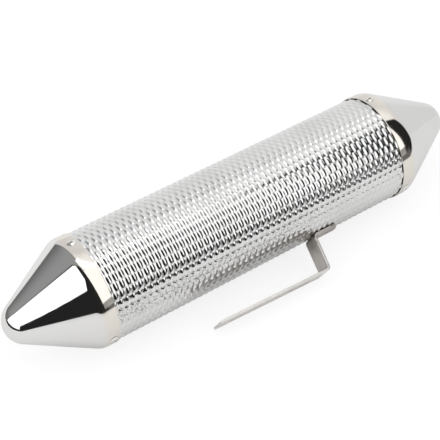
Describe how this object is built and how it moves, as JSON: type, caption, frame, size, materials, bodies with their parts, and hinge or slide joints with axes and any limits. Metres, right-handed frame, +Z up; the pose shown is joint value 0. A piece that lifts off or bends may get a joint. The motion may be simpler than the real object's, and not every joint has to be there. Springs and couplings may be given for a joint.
{
  "type": "metal guiro",
  "caption": "Hollow torpedo-shaped scraper instrument: embossed steel tube closed by riveted cone caps, with a bent strip handle.",
  "frame": {"origin": "on the table, under the middle of the bounding box, with the guiro lying on its two collars and its handle", "axes": "+X along the tube from the handle's free end side to the foot side, +Z up from the table, the handle towards -Y"},
  "size_m": [0.3482, 0.0976, 0.0765],
  "materials": {
    "embossed_sheet": "bright embossed stainless sheet",
    "polished_cap": "mirror polished spun steel",
    "rivet_body": "bright",
    "rivet_stem": "snapped steel, dull",
    "handle_steel": "satin mill finish",
    "weld": "heat tinted"
  },
  "bodies": {
    "root": {"body_tube": "embossed_sheet", "near_end_cap": "polished_cap", "far_end_cap": "polished_cap", "near_cap_rivets": "rivet_body", "far_cap_rivets": "rivet_body", "near_rivet_stems": "rivet_stem", "far_rivet_stems": "rivet_stem", "handle_strip": "handle_steel", "handle_spot_welds": "weld"}
  },
  "joints": []
}
